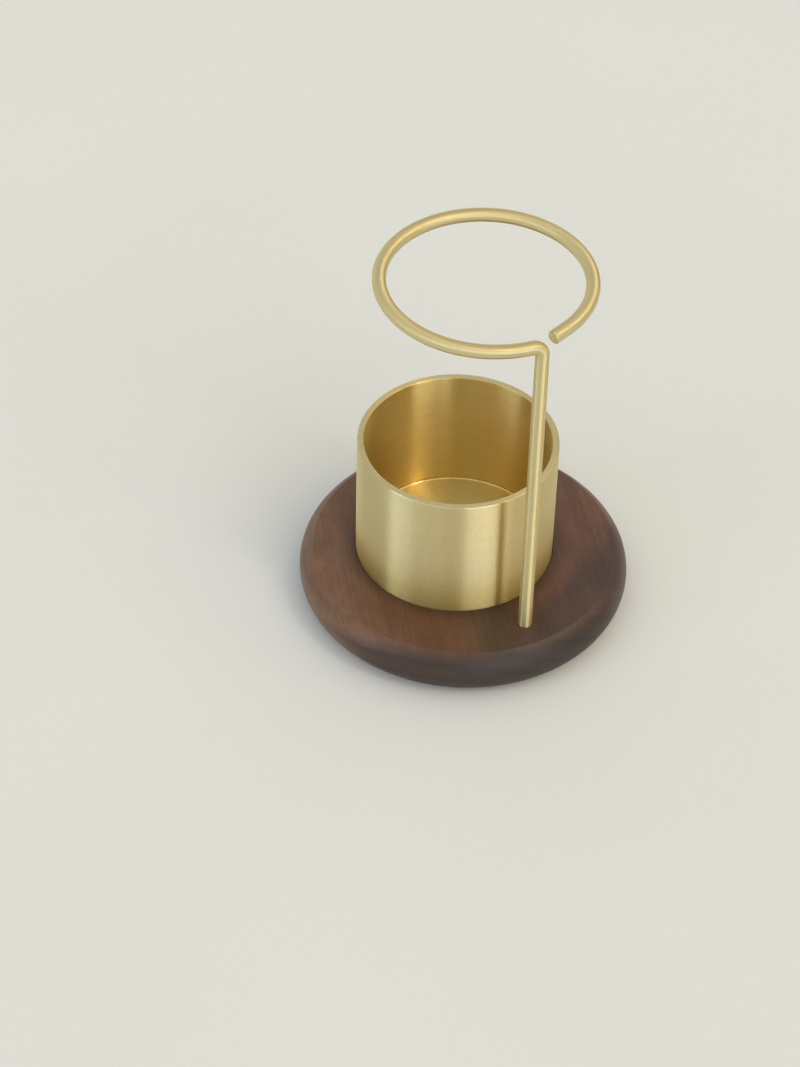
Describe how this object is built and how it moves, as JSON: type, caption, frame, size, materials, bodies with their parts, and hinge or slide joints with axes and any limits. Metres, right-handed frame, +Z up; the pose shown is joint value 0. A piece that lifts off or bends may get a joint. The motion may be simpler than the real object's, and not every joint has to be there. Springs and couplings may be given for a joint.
{
  "type": "pen holder",
  "caption": "Round desk pen holder: a walnut disc base with a shallow brass cup, and a bent brass rod that carries an open ring above the cup to steady a pen.",
  "frame": {"origin": "centre of the underside, on the surface that the holder stands on", "axes": "+Z up, along the rod's leg; +X to the right and -Y to the front, with the leg standing at the front right"},
  "size_m": [0.0732, 0.0732, 0.0909],
  "materials": {
    "walnut": "walnut with a thin matt oil finish",
    "cup_brass": "satin brass, finely brushed round its axis",
    "rod_brass": "satin drawn brass rod",
    "screw_steel": "zinc-plated steel",
    "felt": "pressed wool felt, charcoal"
  },
  "bodies": {
    "root": {"base": "walnut", "cup_wall": "cup_brass", "cup_floor": "cup_brass", "cup_boss": "cup_brass", "cup_screw": "screw_steel", "ring_rod": "rod_brass", "felt_pad": "felt"}
  },
  "joints": []
}
